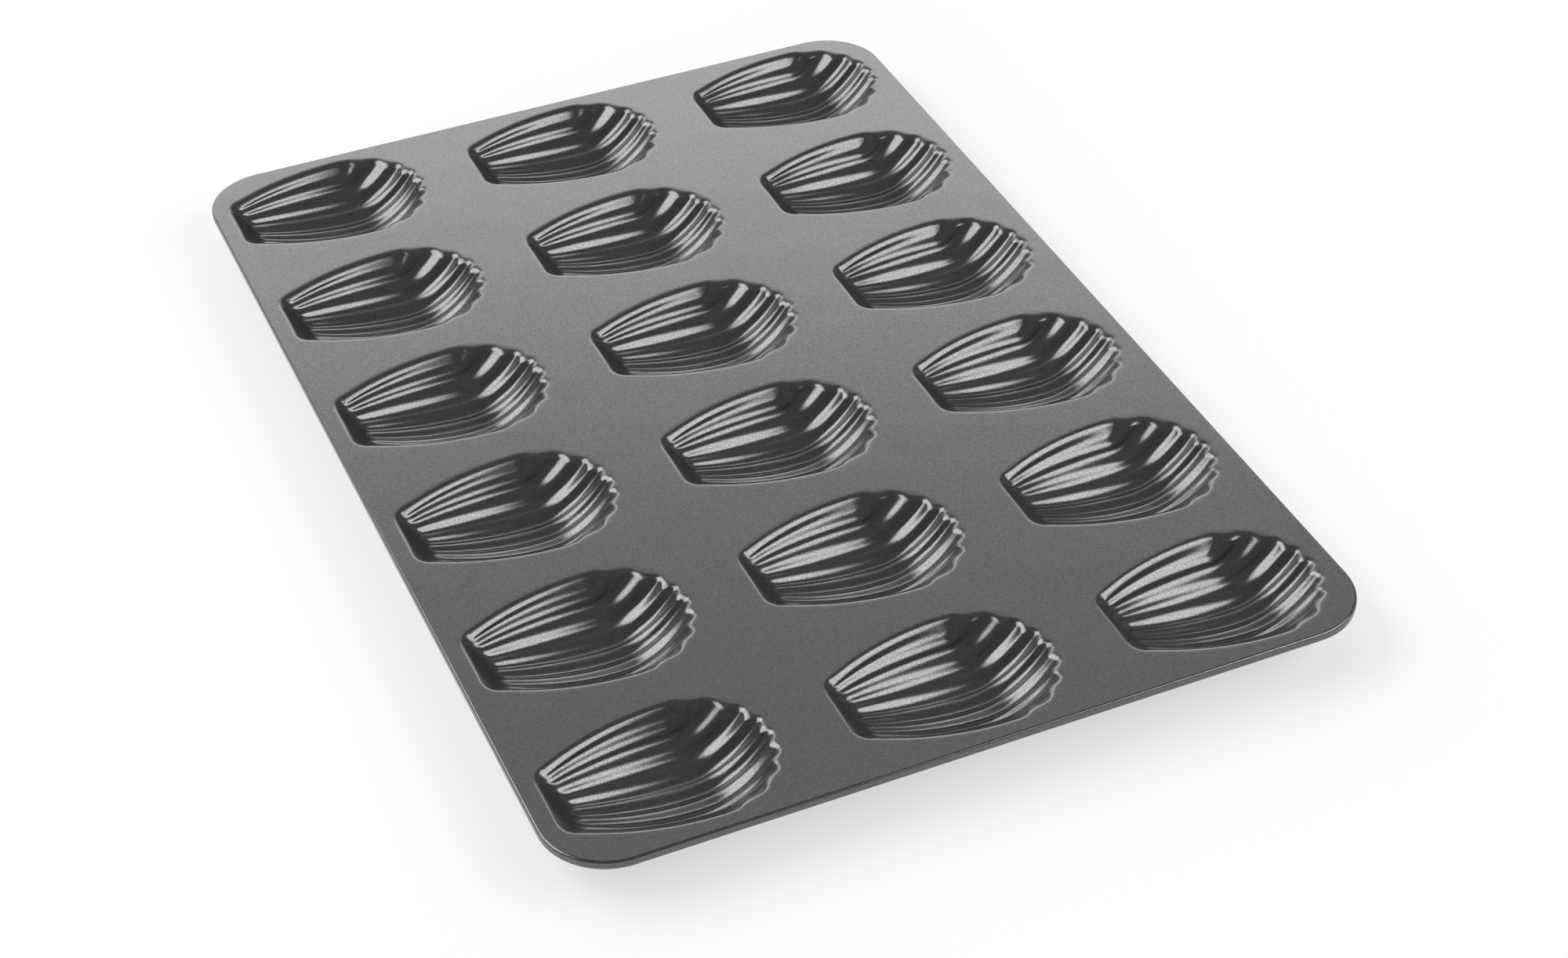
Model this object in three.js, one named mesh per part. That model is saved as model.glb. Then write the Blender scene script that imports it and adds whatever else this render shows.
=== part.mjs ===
// Bear paw cookie pan. A coated steel deck carries columns of fluted shell cups, and its
// edge is rolled down round a stiffening wire. Millimetres, Z up from the table, X along
// each cup from its narrow end to its round tip.
import * as THREE from 'three';

const columns = 3;
const rows = 6;
const sheet = 0.6; // steel thickness

// One cup, measured at its mouth and down from the upper face of the deck.
const cupLength = 72.4;
const cupWidth = 50.7;
const cupDepth = 16.3;
const tipRun = 29.4; // from the widest place to the round tip
const hingeWidth = 25; // straight narrow end, measured where its sides would meet it
const hingeCorner = 4; // rounding at both ends of the narrow end
const hingeDepth = 7.5; // foot of the smooth wall under the narrow end
const hingeRun = 6; // how far that wall slopes in
const footLength = 4; // level stretch that the pan stands on
const floorCurve = 2; // power of the floor's rise towards the narrow end
const wallAngle = 67; // degrees, slope of the side wall at the mouth
const tipAngle = 73; // degrees, spread of the flutes where they reach the tip

const fluteCount = 9;
const fluteHeight = 1.4; // crest above the bottom of a flute
const fluteStart = 0.6; // share of that height at the narrow end
const crestPower = 2; // above 1 the crests are narrower than the flutes
const scallop = 1.5; // how far a crest nips the outline of the mouth
const footHalf = 0.03; // half of the middle flute's flat bottom, as a share across

// Flat lands of the deck.
const columnGap = 20.4;
const rowGap = 15;
const sideLand = 2.8; // from the cups to the rolled edge, along X
const endLand = 2.2; // the same along Y

// Rolled edge and the wire in it.
const wireDiameter = 1.6;
const wireClearance = 0.2;
const wireEndGap = 1; // between the two ends of the wire
const rimBend = 1; // outside radius of each bend
const lipGap = 0.2; // from the rolled lip up to the sheet above it
const cornerRadius = 22;
const cornerSteps = 8;

const rimSize = wireDiameter + 2 * (wireClearance + sheet);
const columnPitch = cupLength + columnGap;
const rowPitch = cupWidth + rowGap;
const panWidth = columns * columnPitch - columnGap + 2 * (sideLand + rimSize);
const panLength = rows * rowPitch - rowGap + 2 * (endLand + rimSize);

const widestAt = cupLength - tipRun;
const footAt = widestAt - footLength;
const bulge = (cupWidth - hingeWidth) / 2;
const sideRadius = (widestAt ** 2 + bulge ** 2) / (2 * bulge);
const cornerTurn = Math.acos(widestAt / sideRadius);
const sideStart = hingeCorner * (1 - Math.cos(cornerTurn));
const radians = THREE.MathUtils.degToRad;

// Half of the mouth's width on the side arcs, at x from the narrow end.
function halfWidth(x) {
  const back = Math.max(widestAt - x, 0);
  return cupWidth / 2 - sideRadius + Math.sqrt(sideRadius ** 2 - back ** 2);
}

// Share of the half width at which flute line v, from -1 to 1, lies.
function across(v, angle) {
  return Math.sin(radians(angle) * v) / Math.sin(radians(angle));
}

// Share of the depth at a share of the way out: 1 on the axis, 0 at the mouth.
function bowl(share) {
  const rim = Math.cos(radians(wallAngle));
  const out = Math.min(share, 1) * Math.sin(radians(wallAngle));
  return (Math.sqrt(1 - out ** 2) - rim) / (1 - rim);
}

// 1 on a crest between two flutes, 0 in the bottom of a flute and at the mouth's sides.
function crest(v) {
  if (Math.abs(v) > 1 - 1 / fluteCount) return 0;
  const turn = Math.PI * fluteCount * (v + 1);
  return ((1 + Math.cos(turn)) / 2) ** crestPower;
}

// Depth of the floor in a flute on the axis, up to the widest place.
function floorDepth(x) {
  const rise = Math.max(footAt - x, 0) / (footAt - hingeRun);
  return cupDepth - (cupDepth - hingeDepth) * rise ** floorCurve;
}

// Point on the straight narrow end of the mouth, with its rounded corners.
function hingePoint(v) {
  const edge = halfWidth(sideStart);
  const y = edge * across(v, wallAngle);
  const straight = edge - hingeCorner * Math.sin(cornerTurn);
  const past = Math.max(Math.abs(y) - straight, 0);
  const x = hingeCorner - Math.sqrt(Math.max(hingeCorner ** 2 - past ** 2, 0));
  return new THREE.Vector3(x, y, 0);
}

// How far along flute line v the wall under the narrow end reaches.
function wallFoot(v) {
  const reach = 0.35 + 0.65 * bowl(Math.abs(across(v, wallAngle)));
  return hingePoint(v).x + hingeRun * reach;
}

// Where flute line v runs out at the mouth.
function lineEnd(v) {
  return widestAt + (tipRun - scallop * crest(v)) * Math.sqrt(1 - across(v, tipAngle) ** 2);
}

// Point of the fluted bowl on line v, at x from the narrow end.
function bowlPoint(v, x) {
  if (x <= widestAt) {
    const fade = crest(v) * (fluteStart + (1 - fluteStart) * (x / widestAt));
    const share = across(v, wallAngle);
    const depth = (floorDepth(x) - fluteHeight * fade) * bowl(Math.abs(share));
    return new THREE.Vector3(x, (halfWidth(x) - scallop * fade) * share, -depth);
  }
  const along = (x - widestAt) / (lineEnd(v) - widestAt);
  const angle = wallAngle + (tipAngle - wallAngle) * along ** 2;
  const share = across(v, angle);
  const forward = (x - widestAt) / (tipRun - scallop * crest(v));
  const depth = (cupDepth - fluteHeight * crest(v)) * bowl(Math.hypot(forward, share));
  return new THREE.Vector3(x, (cupWidth / 2 - scallop * crest(v)) * share, -depth);
}

// Inner face of the cup. k runs from -1 at the narrow end to 0 at the foot of its wall,
// and on to 1 where line v runs out at the mouth.
function cupPoint(v, k) {
  const foot = wallFoot(v);
  if (k < 0) return bowlPoint(v, foot).lerp(hingePoint(v), -k);
  return bowlPoint(v, foot + (lineEnd(v) - foot) * k);
}

// The same point one sheet thickness further out of the cup.
function cupOutside(v, k) {
  const step = 0.004;
  const alongK = cupPoint(v, k + step).sub(cupPoint(v, k - step));
  const alongV = cupPoint(v + step, k).sub(cupPoint(v - step, k));
  const down = alongV.cross(alongK).normalize();
  return cupPoint(v, k).addScaledVector(down, sheet);
}

// Lines across a cup: every crest and flute bottom, with the middle flute left flat.
function fluteLines() {
  const lines = [];
  for (let i = 0; i <= 2 * fluteCount; i += 1) {
    if (i === fluteCount) lines.push(-footHalf, footHalf);
    else lines.push(i / fluteCount - 1);
  }
  return lines;
}

// Stations along a cup, two of them at the ends of the level foot.
function cupStations() {
  const foot = wallFoot(footHalf);
  const span = lineEnd(footHalf) - foot;
  const footStart = (footAt - foot) / span;
  const footEnd = (widestAt - foot) / span;
  return [-1, 0, footStart / 3, (2 * footStart) / 3, footStart, footEnd, 0.74, 0.89, 1];
}

// Closed solid between two grids of points, the first facing up and the second down.
function sheetGeometry(upper, lower) {
  const width = upper[0].length;
  const half = upper.length * width;
  const index = [];
  const quad = (a, b, c, d) => index.push(a, b, c, a, c, d);
  const at = (row, column) => row * width + column;
  const last = upper.length - 1;
  for (let r = 0; r < last; r += 1) {
    for (let c = 0; c < width - 1; c += 1) {
      quad(at(r, c), at(r + 1, c), at(r + 1, c + 1), at(r, c + 1));
      quad(half + at(r, c), half + at(r, c + 1), half + at(r + 1, c + 1), half + at(r + 1, c));
    }
    quad(at(r, 0), half + at(r, 0), half + at(r + 1, 0), at(r + 1, 0));
    quad(at(r + 1, width - 1), half + at(r + 1, width - 1), half + at(r, width - 1), at(r, width - 1));
  }
  for (let c = 0; c < width - 1; c += 1) {
    quad(at(0, c + 1), half + at(0, c + 1), half + at(0, c), at(0, c));
    quad(at(last, c), half + at(last, c), half + at(last, c + 1), at(last, c + 1));
  }
  const points = [...upper.flat(), ...lower.flat()];
  const geometry = new THREE.BufferGeometry().setFromPoints(points);
  geometry.setIndex(index);
  return geometry;
}

function cupGeometry() {
  const lines = fluteLines();
  const stations = cupStations();
  const upper = stations.map((k) => lines.map((v) => cupPoint(v, k)));
  const lower = stations.map((k) => lines.map((v) => {
    const atMouth = k === -1 || k === 1 || Math.abs(v) === 1;
    if (atMouth) return cupPoint(v, k).add(new THREE.Vector3(0, 0, -sheet));
    return cupOutside(v, k);
  }));
  return sheetGeometry(upper, lower);
}

// Outline of a mouth, anticlockwise, without the points that lie on a straight run.
function mouthOutline() {
  const lines = fluteLines();
  const stations = cupStations();
  const inner = stations.slice(1, -1);
  const loop = [
    ...stations.map((k) => cupPoint(-1, k)),
    ...lines.slice(1, -1).map((v) => cupPoint(v, 1)),
    ...[1, ...inner.toReversed(), -1].map((k) => cupPoint(1, k)),
    ...lines.slice(1, -1).toReversed().map((v) => cupPoint(v, -1)),
  ];
  return loop.filter((point, i) => {
    const before = loop.at(i - 1);
    const after = loop[(i + 1) % loop.length];
    return Math.abs(before.x - point.x) > 1e-9 || Math.abs(after.x - point.x) > 1e-9;
  });
}

// Places round the pan's outer edge, anticlockwise, each with the way out from it.
function edgeStations() {
  const stations = [];
  for (let corner = 0; corner < 4; corner += 1) {
    const east = corner === 0 || corner === 3 ? 1 : -1;
    const north = corner < 2 ? 1 : -1;
    const centre = new THREE.Vector2(
      east * (panWidth / 2 - cornerRadius),
      north * (panLength / 2 - cornerRadius),
    );
    for (let i = 0; i <= cornerSteps; i += 1) {
      const turn = (corner + i / cornerSteps) * (Math.PI / 2);
      const out = new THREE.Vector2(Math.cos(turn), Math.sin(turn));
      stations.push({ edge: centre.clone().addScaledVector(out, cornerRadius), out });
    }
  }
  return stations;
}

// A section of [out, up] points swept along stations, closed into a ring or capped.
function sweepGeometry(section, stations, ring) {
  const points = stations.flatMap(({ edge, out }) => section.map(([u, w]) => (
    new THREE.Vector3(edge.x + u * out.x, edge.y + u * out.y, w)
  )));
  const size = section.length;
  const index = [];
  const runs = ring ? stations.length : stations.length - 1;
  for (let s = 0; s < runs; s += 1) {
    const here = s * size;
    const next = ((s + 1) % stations.length) * size;
    for (let i = 0; i < size; i += 1) {
      const j = (i + 1) % size;
      index.push(here + i, next + j, next + i, here + i, here + j, next + j);
    }
  }
  const end = (stations.length - 1) * size;
  for (let i = 1; i < size - 1 && !ring; i += 1) {
    index.push(0, i + 1, i, end, end + i, end + i + 1);
  }
  const geometry = new THREE.BufferGeometry().setFromPoints(points);
  geometry.setIndex(index);
  return geometry;
}

// Section of the rolled edge, clockwise from the top strip that meets the deck.
function rimSection(top) {
  const near = -rimBend;
  const far = -(rimSize - rimBend);
  const bends = [[near, near, 90], [near, far, 0], [far, far, -90]];
  const arc = ([u, w, start], radius) => [0, 45, 90].map((turn) => {
    const angle = radians(start - turn);
    return [u + radius * Math.cos(angle), top + w + radius * Math.sin(angle)];
  });
  return [
    [-rimSize, top],
    ...bends.flatMap((bend) => arc(bend, rimBend)),
    [-rimSize, top - sheet - lipGap],
    [-rimSize + sheet, top - sheet - lipGap],
    ...bends.toReversed().flatMap((bend) => arc(bend, rimBend - sheet).toReversed()),
    [-rimSize, top - sheet],
  ];
}

function wireSection(top) {
  const middle = -rimSize / 2;
  return [...Array(8).keys()].map((i) => {
    const angle = radians(22.5 - 45 * i);
    const radius = wireDiameter / 2;
    return [middle + radius * Math.cos(angle), top + middle + radius * Math.sin(angle)];
  });
}

// The wire runs once round the pan and its ends meet in the middle of the right side.
function wireStations() {
  const out = new THREE.Vector2(1, 0);
  const end = (y) => ({ edge: new THREE.Vector2(panWidth / 2, y), out });
  return [end(wireEndGap / 2), ...edgeStations(), end(-wireEndGap / 2)];
}

const coating = () => new THREE.MeshStandardMaterial({
  color: 0x4c4c4e,
  roughness: 0.4,
  metalness: 0.5,
});
const steel = () => new THREE.MeshStandardMaterial({
  color: 0xa6a6a4,
  roughness: 0.35,
  metalness: 0.9,
});

const pan = new THREE.Group();
function addPiece(name, geometry, material, place) {
  const piece = new THREE.Mesh(geometry, material);
  piece.name = name;
  piece.position.copy(place);
  pan.add(piece);
}

const cupSize = cupGeometry();
cupSize.computeBoundingBox();
const deckTop = -cupSize.boundingBox.min.z;

const cupPlaces = [];
const columnNames = ['left', 'middle', 'right'];
for (let row = 0; row < rows; row += 1) {
  for (let column = 0; column < columns; column += 1) {
    const x = (column - (columns - 1) / 2) * columnPitch - cupLength / 2;
    const y = ((rows - 1) / 2 - row) * rowPitch;
    const name = `shell_cup_row${row + 1}_${columnNames[column] ?? `column${column + 1}`}`;
    cupPlaces.push({ name, place: new THREE.Vector3(x, y, deckTop) });
  }
}

const deckShape = new THREE.Shape(
  edgeStations().map(({ edge, out }) => edge.clone().addScaledVector(out, -rimSize)),
);
for (const { place } of cupPlaces) {
  const mouth = mouthOutline().map((p) => new THREE.Vector2(p.x + place.x, p.y + place.y));
  deckShape.holes.push(new THREE.Path(mouth));
}
const deckGeometry = new THREE.ExtrudeGeometry(deckShape, { depth: sheet, bevelEnabled: false });
addPiece('deck', deckGeometry, coating(), new THREE.Vector3(0, 0, deckTop - sheet));

for (const { name, place } of cupPlaces) addPiece(name, cupGeometry(), coating(), place);

const origin = new THREE.Vector3();
addPiece('rolled_rim', sweepGeometry(rimSection(deckTop), edgeStations(), true), coating(), origin);
addPiece('rim_wire', sweepGeometry(wireSection(deckTop), wireStations(), false), steel(), origin);

export default pan;
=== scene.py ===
import math

import bmesh
import bpy
from mathutils import Matrix, Vector


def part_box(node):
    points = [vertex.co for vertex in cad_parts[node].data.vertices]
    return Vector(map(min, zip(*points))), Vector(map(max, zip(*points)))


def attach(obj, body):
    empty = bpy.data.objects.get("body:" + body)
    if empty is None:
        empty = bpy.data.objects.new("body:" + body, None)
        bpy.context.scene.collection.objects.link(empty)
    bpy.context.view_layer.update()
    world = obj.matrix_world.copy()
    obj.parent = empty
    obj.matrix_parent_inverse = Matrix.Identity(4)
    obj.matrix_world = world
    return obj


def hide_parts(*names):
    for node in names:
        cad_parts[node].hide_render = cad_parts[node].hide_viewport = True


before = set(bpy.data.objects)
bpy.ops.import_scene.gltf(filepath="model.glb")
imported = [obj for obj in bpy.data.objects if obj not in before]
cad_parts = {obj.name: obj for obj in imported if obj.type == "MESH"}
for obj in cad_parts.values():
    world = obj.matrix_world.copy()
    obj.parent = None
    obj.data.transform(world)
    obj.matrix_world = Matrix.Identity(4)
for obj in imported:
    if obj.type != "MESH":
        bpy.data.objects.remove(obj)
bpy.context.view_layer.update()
print("frame loaded:", len(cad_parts), "nodes")

mm = 0.001
tiny = 1e-6  # for comparing places
mergeWithin = 0.000005
sheet = 0.6 * mm  # steel thickness
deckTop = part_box("deck")[1].z
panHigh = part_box("rolled_rim")[1]  # corner of the pan's outline


def deselectAll():
    bpy.ops.object.select_all(action="DESELECT")


def pickOnly(piece):
    deselectAll()
    piece.select_set(True)
    bpy.context.view_layer.objects.active = piece


def nameNew(name):  # the primitive that was just added, with its place in its mesh
    bpy.ops.object.transform_apply(location=True, rotation=True, scale=True)
    piece = bpy.context.object
    piece.name = name
    piece.data.name = name
    return piece


def editMode(pick="EDGE"):
    bpy.ops.object.mode_set(mode="EDIT")
    bpy.ops.mesh.select_mode(type=pick)


def objectMode():
    bpy.ops.object.mode_set(mode="OBJECT")


def applyModifier(piece, kind, **settings):
    pickOnly(piece)
    modifier = piece.modifiers.new(kind.title(), kind)
    for key, value in settings.items():
        setattr(modifier, key, value)
    bpy.ops.object.modifier_apply(modifier=modifier.name)


def smoothPiece(piece, degrees):
    pickOnly(piece)
    bpy.ops.object.shade_smooth_by_angle(angle=math.radians(degrees))


# Shell cup. Millimetres; x starts at the upper end of its narrow end's wall, and z at that level.
cup = {
    "mouthStart": -0.3,  # its mouth on the deck, x from the CAD cup's narrow end
    "mouthEnd": 72.8,
    "mouthWidth": 52.0,
    "mouthWidest": 46.0,
    "lipReach": 2.4,  # rounded lip between deck and wall
    "lipDrop": 1.5,
    "lipLean": 0.6,  # share of its reach that the wall's slope may take up
    "lipEven": 6,  # rounds of evening out its direction
    "lipCalm": 0.5,  # share of the flutes that is gone at the lip's outer line
    "depth": 14.7,
    "hingeWidth": 23.0,  # the straight narrow end
    "hingeCorner": 5,
    "hingeDepth": 7.0,
    "hingeRun": 6.0,  # length of its sloping wall in the middle and at the sides
    "sideRun": 0.72,
    "footRound": 2.6,  # rounding where the end wall meets the floor
    "footShare": 0.6,  # and the most that it takes of the wall
    "footLength": 1.5,
    "floorCurve": 1.8,
    "bowlPower": 2.2,  # higher for a flatter floor between steeper walls
    "wallAngle": 66,  # spreads the flutes across the cup
    "tipSpread": 1.27,  # and along its round end
    "tipSquare": 14,  # how suddenly that spread stops at the sides
    "flutes": 9,
    "fluteHeight": 0.65,
    "fluteStart": 0.7,  # shares of that height at the narrow end and at the round one
    "tipFlute": 1.6,
    "noseRun": 4,  # over which a crest rises from the end wall
    "noseShare": 0.3,  # and the share of it that is there from the start
    "fluteRound": 0.5,  # rounding in the middle of a flute and on a crest, shares of half a flute
    "crestRound": 0.45,
    "edgeCrest": 0.8,  # share of a crest's height at the cup's long edges
    "scallop": 0.6,  # how far a crest stands in at the side
    "tipScallop": 2.5,  # and how many times that at the round end
    "flange": 0.8,  # flat strip round the lip
    "columns": 144,
    "wallRows": 4,
    "cornerRows": 7,
    "bowlRows": 45,
    "rowPower": 1.5,  # above 1 for closer rows on the round end's wall
    "lipRows": 8,
    "smoothAngle": 50,
}
cup["startAt"] = cup["mouthStart"] + cup["lipReach"]
cup["width"] = cup["mouthWidth"] - 2 * cup["lipReach"]
cup["widestAt"] = cup["mouthWidest"] - cup["startAt"]
cup["tipRun"] = cup["mouthEnd"] - cup["mouthWidest"] - cup["lipReach"]
cup["footAt"] = cup["widestAt"] - cup["footLength"]
cup["rows"] = cup["wallRows"] + cup["cornerRows"] + cup["bowlRows"]
sideBulge = (cup["width"] - cup["hingeWidth"]) / 2
sideRadius = (cup["widestAt"] ** 2 + sideBulge ** 2) / (2 * sideBulge)
cornerTurn = math.acos(cup["widestAt"] / sideRadius)


def halfWidth(x):
    back = max(cup["widestAt"] - x, 0)
    return cup["width"] / 2 - sideRadius + math.sqrt(sideRadius ** 2 - back ** 2)


def acrossShare(v):  # where line v runs across the cup
    return math.sin(math.radians(cup["wallAngle"]) * v) / math.sin(math.radians(cup["wallAngle"]))


def tipShare(v):  # and where it ends on the round end
    def squared(out):
        return out / (1 + abs(out) ** cup["tipSquare"]) ** (1 / cup["tipSquare"])
    return squared(cup["tipSpread"] * v) / squared(cup["tipSpread"])


def bowlShare(out):
    return 1 - min(out, 1) ** cup["bowlPower"]


def crestShare(v, edge=0):  # 0 in the middle of a flute, 1 on the narrow crest between two
    low = cup["fluteRound"]
    turn = cup["crestRound"]
    side = 2 * abs((v + 1) * cup["flutes"] / 2 % 1 - 0.5)
    slope = (1 - turn) / math.hypot(1 - turn, low)
    top = math.hypot(1 - turn, low) + slope * turn / 2
    height = math.hypot(min(side, 1 - turn), low)
    if side > 1 - turn:
        height = top - slope * (1 - side) ** 2 / (2 * turn)
    share = (height - low) / (top - low)
    return share * edge if abs(v) > 1 - 1 / cup["flutes"] else share


def floorDepth(x):
    rise = max(cup["footAt"] - x, 0) / (cup["footAt"] - cup["hingeRun"])
    return cup["depth"] - (cup["depth"] - cup["hingeDepth"]) * rise ** cup["floorCurve"]


def hingePoint(v):
    edge = halfWidth(cup["hingeCorner"] * (1 - math.cos(cornerTurn)))
    y = edge * acrossShare(v)
    past = max(abs(y) - edge + cup["hingeCorner"] * math.sin(cornerTurn), 0)
    x = cup["hingeCorner"] - math.sqrt(max(cup["hingeCorner"] ** 2 - past ** 2, 0))
    return Vector((x, y, 0))


def wallFoot(v):
    middle = bowlShare(abs(acrossShare(v)))
    return hingePoint(v).x + cup["sideRun"] + (cup["hingeRun"] - cup["sideRun"]) * middle


def tipReach(v, press):
    return cup["tipRun"] - cup["scallop"] * cup["tipScallop"] * crestShare(v) * press


def lineEnd(v, press):
    return cup["widestAt"] + tipReach(v, press) * math.sqrt(max(1 - tipShare(v) ** 2, 0))


# press is 0 for the plain bowl and 1 with the flutes pressed in
def bowlPoint(v, x, press):
    if x <= cup["widestAt"] + tiny:
        crest = crestShare(v, cup["edgeCrest"] * (1 - (x / cup["widestAt"]) ** 2)) * press
        crest *= cup["fluteStart"] + (1 - cup["fluteStart"]) * x / cup["widestAt"]
        nose = min(max(x - wallFoot(v), 0) / cup["noseRun"], 1)
        crest *= cup["noseShare"] + (1 - cup["noseShare"]) * nose * (2 - nose)
        aside = acrossShare(v)
        depth = (floorDepth(x) - cup["fluteHeight"] * crest) * bowlShare(abs(aside))
        return Vector((x, (halfWidth(x) - cup["scallop"] * crest) * aside, -depth))
    along = (x - cup["widestAt"]) / max(lineEnd(v, press) - cup["widestAt"], tiny)
    crest = crestShare(v) * press
    aside = acrossShare(v) + (tipShare(v) - acrossShare(v)) * along ** 2
    ahead = (x - cup["widestAt"]) / tipReach(v, press)
    height = cup["fluteHeight"] * (1 + (cup["tipFlute"] - 1) * along)
    depth = (cup["depth"] - height * crest) * bowlShare(math.hypot(ahead, aside))
    scallop = cup["scallop"] * (1 + (cup["tipScallop"] - 1) * along)
    return Vector((x, (cup["width"] / 2 - scallop * crest) * aside, -depth))


def cupLine(v, press):  # points along one line, from the narrow end to the round one
    start = hingePoint(v)
    footAt = wallFoot(v)
    foot = bowlPoint(v, footAt, press)
    turn = min(cup["footRound"], cup["footShare"] * (start - foot).length)
    upper = foot + (start - foot).normalized() * turn
    lower = bowlPoint(v, footAt + turn, press)
    points = [start.lerp(upper, i / cup["wallRows"]) for i in range(cup["wallRows"])]
    for i in range(cup["cornerRows"]):
        s = i / cup["cornerRows"]
        points.append(upper.lerp(foot, s).lerp(foot.lerp(lower, s), s))
    end = lineEnd(v, press)
    for i in range(cup["bowlRows"] + 1):
        s = 1 - (1 - i / cup["bowlRows"]) ** cup["rowPower"]
        points.append(bowlPoint(v, footAt + turn + (end - footAt - turn) * s, press))
    return points


def modelCup():
    deselectAll()
    rows = cup["rows"]
    columns = cup["columns"]
    bpy.ops.mesh.primitive_grid_add(x_subdivisions=rows, y_subdivisions=columns, size=2)
    piece = nameNew("shellCup")
    mesh = piece.data
    across = [2 * column / columns - 1 for column in range(columns + 1)]
    lines = [(cupLine(v, 0), cupLine(v, 1)) for v in across]
    place = {}
    pressBy = {}
    for vert in mesh.vertices:  # the flat grid's own places give row and column
        row = round((vert.co.x + 1) / 2 * rows)
        column = round((vert.co.y + 1) / 2 * columns)
        plain, pressed = lines[column]
        place[row, column] = vert.index
        pressBy[vert.index] = pressed[row] - plain[row]
        vert.co = plain[row]
    loop = [place[row, 0] for row in range(rows)]
    loop += [place[rows, column] for column in range(columns)]
    loop += [place[row, columns] for row in range(rows, 0, -1)]
    loop += [place[0, column] for column in range(columns, 0, -1)]
    rings = lipRings(mesh, loop)
    mesh.attributes.new("edgeIndex", "INT", "POINT")
    mesh.attributes.new("ring", "INT", "POINT")
    for i, index in enumerate(loop):
        mesh.attributes["edgeIndex"].data[index].value = i
    editMode()
    bpy.ops.mesh.select_all(action="DESELECT")
    bpy.ops.mesh.select_non_manifold()
    for number, ring in enumerate(rings, 1):  # grow the rounded lip and its flat strip
        bpy.ops.mesh.extrude_edges_move()
        shell = bmesh.from_edit_mesh(mesh)
        edgeIndex = shell.verts.layers.int["edgeIndex"]
        ringNumber = shell.verts.layers.int["ring"]
        for vert in shell.verts:
            if vert.select:
                vert.co = ring[vert[edgeIndex]]
                vert[ringNumber] = number
        bmesh.update_edit_mesh(mesh)
    objectMode()
    mesh.attributes.new("press", "FLOAT_VECTOR", "POINT")
    press = mesh.attributes["press"].data
    for vert in mesh.vertices:
        number = mesh.attributes["ring"].data[vert.index].value
        if number == 0:
            press[vert.index].vector = pressBy[vert.index]
        else:
            source = loop[mesh.attributes["edgeIndex"].data[vert.index].value]
            kept = 1 - cup["lipCalm"] * number / cup["lipRows"]
            press[vert.index].vector = pressBy[source] * kept * (number <= cup["lipRows"])
    applyModifier(piece, "SOLIDIFY", thickness=sheet / mm, offset=-1, use_even_offset=True)
    for vert in mesh.vertices:  # flutes go into both faces of the drawn sheet
        vert.co += mesh.attributes["press"].data[vert.index].vector
        vert.co.z -= cup["lipDrop"]
        vert.co *= mm
    for name in ("edgeIndex", "ring", "press"):
        mesh.attributes.remove(mesh.attributes[name])
    smoothPiece(piece, cup["smoothAngle"])
    outline = [(point - Vector((0, 0, cup["lipDrop"]))) * mm for point in rings[-1]]
    return piece, outline


# Points of each ring of the lip, from the wall's upper end out to the flat strip.
def lipRings(mesh, loop):
    count = len(loop)
    edge = [mesh.vertices[index].co.copy() for index in loop]
    rise = []
    for i, index in enumerate(loop):
        along = (edge[(i + 1) % count] - edge[i - 1]).normalized()
        rise.append(along.cross(mesh.vertices[index].normal).normalized())
    for _ in range(cup["lipEven"]):  # mostly for the corners of the grid
        rise = [(rise[i - 1] + rise[i] + rise[(i + 1) % count]).normalized() for i in range(count)]
    rings = [[] for _ in range(cup["lipRows"] + 1)]
    for i in range(count):
        out = Vector((rise[i].x, rise[i].y, 0)).normalized()
        lean = math.hypot(rise[i].x, rise[i].y) / max(rise[i].z, tiny)
        up = Vector((0, 0, cup["lipDrop"]))
        corner = edge[i] + up + out * min(lean * cup["lipDrop"], cup["lipLean"] * cup["lipReach"])
        outer = edge[i] + up + out * cup["lipReach"]
        for r in range(1, cup["lipRows"] + 1):
            s = r / cup["lipRows"]
            rings[r - 1].append(edge[i].lerp(corner, s).lerp(corner.lerp(outer, s), s))
        rings[-1].append(outer + out * cup["flange"])
    return rings


cupMaster, cupOutline = modelCup()
print("shell cup modelled:", len(cupMaster.data.polygons), "faces")

cupNodes = sorted(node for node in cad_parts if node.startswith("shell_cup"))
cupPieces = []
cupPlaces = []
for node in cupNodes:
    low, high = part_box(node)
    place = Vector((low.x + cup["startAt"] * mm, (low.y + high.y) / 2, deckTop))
    piece = cupMaster.copy()
    piece.data = cupMaster.data.copy()
    piece.name = piece.data.name = node.replace("shell_cup", "pressedCup")
    piece.data.transform(Matrix.Translation(place))
    bpy.context.scene.collection.objects.link(piece)
    cupPieces.append((piece, node))
    cupPlaces.append(place)
bpy.data.objects.remove(cupMaster)
print("cups placed:", len(cupPieces))

# Rolled edge. Millimetres.
rim = {
    "size": 3.2,
    "bend": 0.8,
    "bendSteps": 6,
    "bendEdge": 0.1,  # keeps the deck's shading flat up to the bend
    "lipGap": 0.2,
    "corner": 22.0,
    "cornerSteps": 20,
    "smoothAngle": 40,
}


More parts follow.
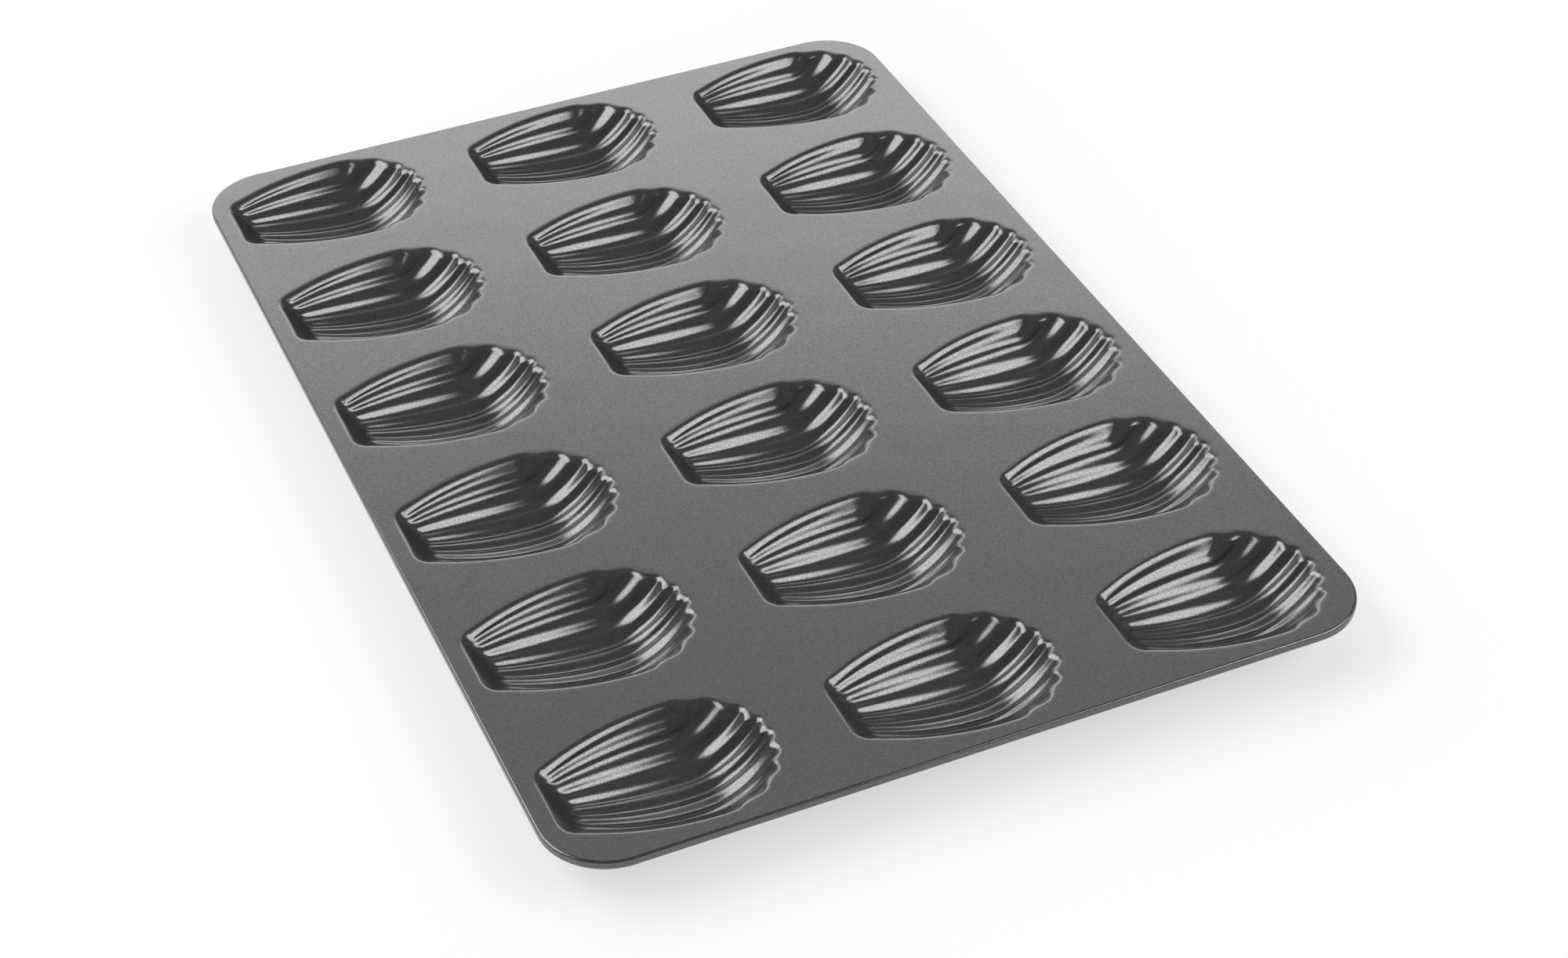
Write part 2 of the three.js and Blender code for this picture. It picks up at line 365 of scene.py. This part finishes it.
def modelRim():
    deselectAll()
    size = rim["size"] * mm
    corner = rim["corner"] * mm
    centre = Vector((panHigh.x - corner, panHigh.y - corner, 0))
    bpy.ops.mesh.primitive_plane_add(size=size, location=(panHigh.x - size, centre.y, deckTop))
    piece = nameNew("rolledEdge")
    editMode("VERT")
    bpy.ops.mesh.merge(type="CENTER")  # one point, drawn out into the section
    flat = size - (rim["bend"] + rim["bendEdge"]) * mm
    lip = size - sheet - rim["lipGap"] * mm
    for step in ((flat, 0, 0), (size - flat, 0, 0), (0, 0, -size), (-size, 0, 0), (0, 0, lip)):
        bpy.ops.mesh.extrude_region_move(TRANSFORM_OT_translate={"value": step})
    section = bmesh.from_edit_mesh(piece.data)
    for vert in section.verts:
        vert.select = len(vert.link_edges) == 2 and vert.calc_edge_angle() > math.pi / 4
    bmesh.update_edit_mesh(piece.data)
    bpy.ops.mesh.bevel(offset=rim["bend"] * mm, segments=rim["bendSteps"], affect="VERTICES")
    bpy.ops.mesh.select_all(action="SELECT")
    bpy.ops.mesh.spin(steps=rim["cornerSteps"], angle=-math.pi / 2, center=centre, axis=(0, 0, 1))
    bpy.ops.mesh.extrude_region_move(TRANSFORM_OT_translate={"value": (-centre.x, 0, 0)})
    bpy.ops.mesh.select_mode(type="EDGE")
    bpy.ops.mesh.select_all(action="DESELECT")
    quarter = bmesh.from_edit_mesh(piece.data)
    for edge in quarter.edges:
        edge.select = all(
            abs(vert.co.y - centre.y) < tiny and vert.co.x > centre.x for vert in edge.verts
        )
    bmesh.update_edit_mesh(piece.data)
    bpy.ops.mesh.extrude_region_move(TRANSFORM_OT_translate={"value": (0, -centre.y, 0)})
    objectMode()
    applyModifier(piece, "MIRROR", use_axis=(True, True, False), merge_threshold=2 * mergeWithin)
    return piece


def turnOut(piece, towards):  # normals of an open sheet, set by its face nearest to a point
    pickOnly(piece)
    editMode("FACE")
    bpy.ops.mesh.select_all(action="SELECT")
    bpy.ops.mesh.remove_doubles(threshold=mergeWithin)
    bpy.ops.mesh.normals_make_consistent(inside=False)
    objectMode()
    nearest = min(piece.data.polygons, key=lambda face: (face.center - towards).length)
    if nearest.normal.dot(towards - nearest.center) < 0:
        editMode("FACE")
        bpy.ops.mesh.select_all(action="SELECT")
        bpy.ops.mesh.flip_normals()
        objectMode()


# Deck. It is filled in between the rolled edge and the strips round the cups.
def modelDeck(rimPiece):
    pickOnly(rimPiece)
    editMode()
    bpy.ops.mesh.select_all(action="DESELECT")
    sweep = bmesh.from_edit_mesh(rimPiece.data)
    for edge in sweep.edges:
        edge.select = edge.is_boundary and min(vert.co.z for vert in edge.verts) > deckTop - tiny
    bmesh.update_edit_mesh(rimPiece.data)
    bpy.ops.mesh.duplicate()
    bpy.ops.mesh.separate(type="SELECTED")
    objectMode()
    piece = next(other for other in bpy.context.selected_objects if other is not rimPiece)
    piece.name = piece.data.name = "panDeck"
    pickOnly(piece)
    editMode()
    for place in cupPlaces:
        bpy.ops.mesh.select_all(action="DESELECT")
        bpy.ops.mesh.primitive_circle_add(vertices=len(cupOutline), radius=mm, location=place)
        outlines = bmesh.from_edit_mesh(piece.data)
        circle = [vert for vert in outlines.verts if vert.select]
        for vert, point in zip(circle, cupOutline):
            vert.co = place + point
        bmesh.update_edit_mesh(piece.data)
    bpy.ops.mesh.select_all(action="SELECT")
    bpy.ops.mesh.fill(use_beauty=True)
    objectMode()
    return piece


rimPiece = modelRim()
deckPiece = modelDeck(rimPiece)
overEdge = Vector((panHigh.x - rim["size"] * mm, 0, 2 * deckTop))
for piece in (rimPiece, deckPiece):
    turnOut(piece, overEdge)
    applyModifier(piece, "SOLIDIFY", thickness=sheet, offset=-1, use_even_offset=True)
    smoothPiece(piece, rim["smoothAngle"])
print("rim and deck modelled:", len(rimPiece.data.polygons), len(deckPiece.data.polygons), "faces")

# Stiffening wire in the rolled edge. Millimetres.
wire = {
    "thick": 1.6,
    "endGap": 1.0,
    "cornerSteps": 24,
    "roundSteps": 5,
    "smoothAngle": 40,
}


def modelWire():
    deselectAll()
    inset = rim["size"] / 2 * mm
    middle = deckTop - inset
    bpy.ops.mesh.primitive_plane_add(size=2, location=(0, 0, middle))
    bpy.ops.transform.resize(value=(panHigh.x - inset, panHigh.y - inset, 1))
    piece = nameNew("rimWire")
    editMode("VERT")
    bpy.ops.mesh.select_all(action="SELECT")
    corner = rim["corner"] * mm - inset
    bpy.ops.mesh.bevel(offset=corner, segments=wire["cornerSteps"], affect="VERTICES")
    bpy.ops.mesh.delete(type="ONLY_FACE")
    bpy.ops.mesh.select_all(action="DESELECT")
    path = bmesh.from_edit_mesh(piece.data)
    for edge in path.edges:  # the long run on the right, where the ends of the wire meet
        if edge.calc_length() > panHigh.y and edge.verts[0].co.x > 0:
            for vert in edge.verts:
                vert.select = True
    path.select_flush(True)
    bmesh.update_edit_mesh(piece.data)
    bpy.ops.mesh.subdivide(number_cuts=2)
    path = bmesh.from_edit_mesh(piece.data)
    ends = [vert for vert in path.verts if vert.co.x > 0 and abs(vert.co.y) < panHigh.y / 2]
    for vert in ends:
        vert.co.y = math.copysign(wire["endGap"] / 2 * mm, vert.co.y)
    for edge in path.edges:
        if edge.verts[0] in ends and edge.verts[1] in ends:
            path.edges.remove(edge)
            break
    bmesh.update_edit_mesh(piece.data)
    objectMode()
    bpy.ops.object.convert(target="CURVE")
    curve = bpy.context.object.data
    curve.bevel_depth = wire["thick"] / 2 * mm
    curve.bevel_resolution = wire["roundSteps"]
    curve.use_fill_caps = True
    bpy.ops.object.convert(target="MESH")
    piece = nameNew("rimWire")
    editMode()
    bpy.ops.mesh.select_all(action="SELECT")
    bpy.ops.mesh.remove_doubles(threshold=mergeWithin)
    bpy.ops.mesh.normals_make_consistent(inside=False)
    objectMode()
    smoothPiece(piece, wire["smoothAngle"])
    return piece


wirePiece = modelWire()
print("wire modelled:", len(wirePiece.data.polygons), "faces")

# Finishes.
coating = {
    "dark": (0.020, 0.020, 0.0205, 1),
    "light": (0.034, 0.034, 0.0345, 1),
    "iorLow": 1.7,  # the coat mirrors more than plain paint, unevenly from grain to grain
    "iorHigh": 2.3,
    "roughLow": 0.12,
    "roughHigh": 0.18,
    "grain": 2600,  # per metre, size of the sprayed coat's grain
    "grainDetail": 3.0,
    "grainRough": 0.6,
    "grainDepth": 0.00002,
    "speckle": 2600 / 3,  # its change of colour
    "speckleDetail": 2.0,
    "wave": 28,  # slow unevenness of the pressed sheet
    "waveDetail": 1.0,
    "waveDepth": 0.0001,
    "noiseLow": 0.3,  # most of a noise texture lies between these
    "noiseHigh": 0.7,
}
bareSteel = {
    "dark": (0.42, 0.42, 0.41, 1),
    "light": (0.62, 0.62, 0.61, 1),
    "roughLow": 0.28,
    "roughHigh": 0.45,
    "streak": 900.0,  # per metre
    "streakDetail": 4.0,
}


def newFinish(name):
    material = bpy.data.materials.new(name)
    material.use_nodes = True
    shader = material.node_tree.nodes["Principled BSDF"]
    return material, material.node_tree, shader


def addNode(tree, kind, **settings):
    node = tree.nodes.new(kind)
    for key, value in settings.items():
        if key in node.inputs:
            node.inputs[key].default_value = value
        else:
            setattr(node, key, value)
    return node


def addNoise(tree, place, scale, detail, **settings):
    noise = addNode(tree, "ShaderNodeTexNoise", Scale=scale, Detail=detail, **settings)
    tree.links.new(place.outputs["Object"], noise.inputs["Vector"])
    return noise


def addTint(tree, noise, shader, finish, low=0.0, high=1.0):
    tint = addNode(tree, "ShaderNodeValToRGB")
    for stop, position, colour in zip(tint.color_ramp.elements, (low, high), ("dark", "light")):
        stop.position = position
        stop.color = finish[colour]
    tree.links.new(noise.outputs["Fac"], tint.inputs["Fac"])
    tree.links.new(tint.outputs["Color"], shader.inputs["Base Color"])


def addRange(tree, noise, socket, lowest, highest, low=0.0, high=1.0):
    spread = addNode(tree, "ShaderNodeMapRange")
    spread.inputs["From Min"].default_value = low
    spread.inputs["From Max"].default_value = high
    spread.inputs["To Min"].default_value = lowest
    spread.inputs["To Max"].default_value = highest
    tree.links.new(noise.outputs["Fac"], spread.inputs["Value"])
    tree.links.new(spread.outputs["Result"], socket)


def coatedSteel():
    material, tree, shader = newFinish("nonstickCoating")
    link = tree.links.new
    place = addNode(tree, "ShaderNodeTexCoord")
    roughness = coating["grainRough"]
    grain = addNoise(tree, place, coating["grain"], coating["grainDetail"], Roughness=roughness)
    speckle = addNoise(tree, place, coating["speckle"], coating["speckleDetail"])
    wave = addNoise(tree, place, coating["wave"], coating["waveDetail"])
    low = coating["noiseLow"]
    high = coating["noiseHigh"]
    addTint(tree, speckle, shader, coating, low, high)
    addRange(tree, grain, shader.inputs["Roughness"], coating["roughLow"], coating["roughHigh"])
    addRange(tree, grain, shader.inputs["IOR"], coating["iorLow"], coating["iorHigh"], low, high)
    slow = addNode(tree, "ShaderNodeBump", Distance=coating["waveDepth"], Strength=1.0)
    fine = addNode(tree, "ShaderNodeBump", Distance=coating["grainDepth"], Strength=1.0)
    link(wave.outputs["Fac"], slow.inputs["Height"])
    link(grain.outputs["Fac"], fine.inputs["Height"])
    link(slow.outputs["Normal"], fine.inputs["Normal"])
    link(fine.outputs["Normal"], shader.inputs["Normal"])
    return material


def bareWire():
    material, tree, shader = newFinish("bareWire")
    place = addNode(tree, "ShaderNodeTexCoord")
    streak = addNoise(tree, place, bareSteel["streak"], bareSteel["streakDetail"])
    addTint(tree, streak, shader, bareSteel)
    addRange(tree, streak, shader.inputs["Roughness"], bareSteel["roughLow"], bareSteel["roughHigh"])
    shader.inputs["Metallic"].default_value = 1.0
    return material


coatFinish = coatedSteel()
wireFinish = bareWire()
sheetPieces = [*cupPieces, (rimPiece, "rolled_rim"), (deckPiece, "deck")]
for piece, node in [*sheetPieces, (wirePiece, "rim_wire")]:
    piece.data.materials.clear()
    piece.data.materials.append(wireFinish if piece is wirePiece else coatFinish)
    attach(piece, "root")
    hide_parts(node)
print("finishes on", len(sheetPieces) + 1, "pieces")

# Studio: pale floor, soft boxes and the camera.
studio = {
    "floorSize": 40.0,
    "floorColour": (0.92, 0.92, 0.92, 1),
    "floorRough": 0.9,
    "floorShine": 0.1,
    "shadowRun": 0.09,  # metres from the pan over which the floor turns white
    "whiteNear": 0.6,  # share of white close to it
    # azimuth from +Y towards +X and height, degrees; distance, width and height in metres; power
    "boxes": ((126, 37, 1.6, 1.9, 0.95, 24), (-63, 43, 1.6, 1.9, 1.4, 35.5)),
    "boxFade": 0.25,  # share of a box over which its light fades at each edge
    "backdrop": 2.7,  # brightness of the room at the back
    "ceiling": 0.2,
    "backTowards": 8,  # azimuth of its middle, degrees, and how far to each side it is full and gone
    "backFull": 22,
    "backFade": 45,
    # its brightness upwards: sine of the height, share
    "backLevels": (
        (0.0, 0.03), (0.1, 0.06), (0.25, 0.45), (0.45, 0.9), (0.545, 0.95),
        (0.585, 0.42), (0.62, 0.2), (0.68, 0.19), (0.78, 0.2), (0.92, 0.0),
    ),
    "cameraPlace": (-0.30349, -0.75369, 0.62688),
    "cameraTurn": (51.1647, 0.8739, -23.7930),
    "lens": 68.3157,
    "sensor": 36,
}
white = (1, 1, 1, 1)


def whiteFloor():  # it takes the pan's shadow close by and shows as white further out
    deselectAll()
    bpy.ops.mesh.primitive_plane_add(size=studio["floorSize"])
    floor = nameNew("studioFloor")
    material, tree, shader = newFinish("paleFloor")
    link = tree.links.new
    shader.inputs["Base Color"].default_value = studio["floorColour"]
    shader.inputs["Roughness"].default_value = studio["floorRough"]
    shader.inputs["Specular IOR Level"].default_value = studio["floorShine"]
    place = addNode(tree, "ShaderNodeTexCoord")
    size = addNode(tree, "ShaderNodeVectorMath", operation="ABSOLUTE")
    link(place.outputs["Object"], size.inputs[0])
    past = addNode(tree, "ShaderNodeVectorMath", operation="SUBTRACT")
    past.inputs[1].default_value = (panHigh.x, panHigh.y, 0)
    link(size.outputs["Vector"], past.inputs[0])
    outside = addNode(tree, "ShaderNodeVectorMath", operation="MAXIMUM")
    link(past.outputs["Vector"], outside.inputs[0])
    away = addNode(tree, "ShaderNodeVectorMath", operation="LENGTH")
    link(outside.outputs["Vector"], away.inputs[0])
    share = addNode(tree, "ShaderNodeMapRange", interpolation_type="SMOOTHSTEP")
    share.inputs["From Max"].default_value = studio["shadowRun"]
    share.inputs["To Min"].default_value = studio["whiteNear"]
    link(away.outputs["Value"], share.inputs["Value"])
    rays = addNode(tree, "ShaderNodeLightPath")
    seen = addNode(tree, "ShaderNodeMath", operation="ADD")
    link(rays.outputs["Is Camera Ray"], seen.inputs[0])
    link(rays.outputs["Is Glossy Ray"], seen.inputs[1])
    anySeen = addNode(tree, "ShaderNodeMath", operation="ADD", use_clamp=True)
    link(seen.outputs["Value"], anySeen.inputs[0])
    link(rays.outputs["Is Transmission Ray"], anySeen.inputs[1])
    shown = addNode(tree, "ShaderNodeMath", operation="MULTIPLY")
    link(share.outputs["Result"], shown.inputs[0])
    link(anySeen.outputs["Value"], shown.inputs[1])
    glow = addNode(tree, "ShaderNodeEmission", Color=white, Strength=1.0)
    mix = addNode(tree, "ShaderNodeMixShader")
    link(shown.outputs["Value"], mix.inputs["Fac"])
    link(shader.outputs["BSDF"], mix.inputs[1])
    link(glow.outputs["Emission"], mix.inputs[2])
    link(mix.outputs["Shader"], tree.nodes["Material Output"].inputs["Surface"])
    floor.data.materials.append(material)


def softenEdges(lamp):  # the light fades towards the edges of its box
    lamp.use_nodes = True
    tree = lamp.node_tree
    link = tree.links.new
    place = addNode(tree, "ShaderNodeNewGeometry")
    split = addNode(tree, "ShaderNodeSeparateXYZ")
    link(place.outputs["Parametric"], split.inputs["Vector"])
    both = addNode(tree, "ShaderNodeMath", operation="MULTIPLY")
    for side, axis in enumerate(("X", "Y")):
        inside = addNode(tree, "ShaderNodeMath", operation="PINGPONG")
        inside.inputs[1].default_value = 0.5  # 0 at both edges, 0.5 in the middle
        link(split.outputs[axis], inside.inputs[0])
        fade = addNode(tree, "ShaderNodeMapRange", interpolation_type="SMOOTHSTEP")
        fade.inputs["From Max"].default_value = studio["boxFade"]
        link(inside.outputs["Value"], fade.inputs["Value"])
        link(fade.outputs["Result"], both.inputs[side])
    link(both.outputs["Value"], tree.nodes["Emission"].inputs["Strength"])


def softBoxes():
    for number, (azimuth, height, distance, width, tall, power) in enumerate(studio["boxes"], 1):
        turn = math.radians(azimuth)
        rise = math.radians(height)
        flat = math.cos(rise)
        towards = Vector((math.sin(turn) * flat, math.cos(turn) * flat, math.sin(rise)))
        lamp = bpy.data.lights.new(f"softBox{number}", "AREA")
        lamp.shape = "RECTANGLE"
        lamp.size = width
        lamp.size_y = tall
        lamp.energy = power
        softenEdges(lamp)
        box = bpy.data.objects.new(lamp.name, lamp)
        box.location = towards * distance
        box.rotation_euler = towards.to_track_quat("Z", "Y").to_euler()
        bpy.context.scene.collection.objects.link(box)


def addCamera():
    lens = bpy.data.cameras.new("camera")
    lens.sensor_width = studio["sensor"]
    lens.lens = studio["lens"]
    camera = bpy.data.objects.new("camera", lens)
    camera.location = studio["cameraPlace"]
    camera.rotation_euler = [math.radians(turn) for turn in studio["cameraTurn"]]
    bpy.context.scene.collection.objects.link(camera)
    bpy.context.scene.camera = camera


def studioWorld():  # a pale backdrop that fades upwards and towards the front
    world = bpy.data.worlds.new("studio")
    bpy.context.scene.world = world
    world.use_nodes = True
    tree = world.node_tree
    link = tree.links.new
    towards = math.radians(studio["backTowards"])
    place = addNode(tree, "ShaderNodeTexCoord")
    level = addNode(tree, "ShaderNodeVectorMath", operation="MULTIPLY")
    level.inputs[1].default_value = (1, 1, 0)
    link(place.outputs["Generated"], level.inputs[0])
    bearing = addNode(tree, "ShaderNodeVectorMath", operation="NORMALIZE")
    link(level.outputs["Vector"], bearing.inputs[0])
    facing = addNode(tree, "ShaderNodeVectorMath", operation="DOT_PRODUCT")
    facing.inputs[1].default_value = (math.sin(towards), math.cos(towards), 0)
    link(bearing.outputs["Vector"], facing.inputs[0])
    back = addNode(tree, "ShaderNodeMapRange", interpolation_type="SMOOTHSTEP")
    back.inputs["From Min"].default_value = math.cos(math.radians(studio["backFade"]))
    back.inputs["From Max"].default_value = math.cos(math.radians(studio["backFull"]))
    link(facing.outputs["Value"], back.inputs["Value"])
    split = addNode(tree, "ShaderNodeSeparateXYZ")
    link(place.outputs["Generated"], split.inputs["Vector"])
    upward = addNode(tree, "ShaderNodeValToRGB")
    stops = upward.color_ramp.elements
    while len(stops) < len(studio["backLevels"]):
        stops.new(1)
    for stop, (height, share) in zip(stops, studio["backLevels"]):
        stop.position = height
        stop.color = (share, share, share, 1)
    link(split.outputs["Z"], upward.inputs["Fac"])
    both = addNode(tree, "ShaderNodeMath", operation="MULTIPLY")
    link(back.outputs["Result"], both.inputs[0])
    link(upward.outputs["Color"], both.inputs[1])
    strength = addNode(tree, "ShaderNodeMapRange")
    strength.inputs["To Min"].default_value = studio["ceiling"]
    strength.inputs["To Max"].default_value = studio["backdrop"]
    link(both.outputs["Value"], strength.inputs["Value"])
    tree.nodes["Background"].inputs["Color"].default_value = white
    link(strength.outputs["Result"], tree.nodes["Background"].inputs["Strength"])


whiteFloor()
softBoxes()
addCamera()
studioWorld()
bpy.context.scene.view_settings.view_transform = "Standard"
print("studio set up")
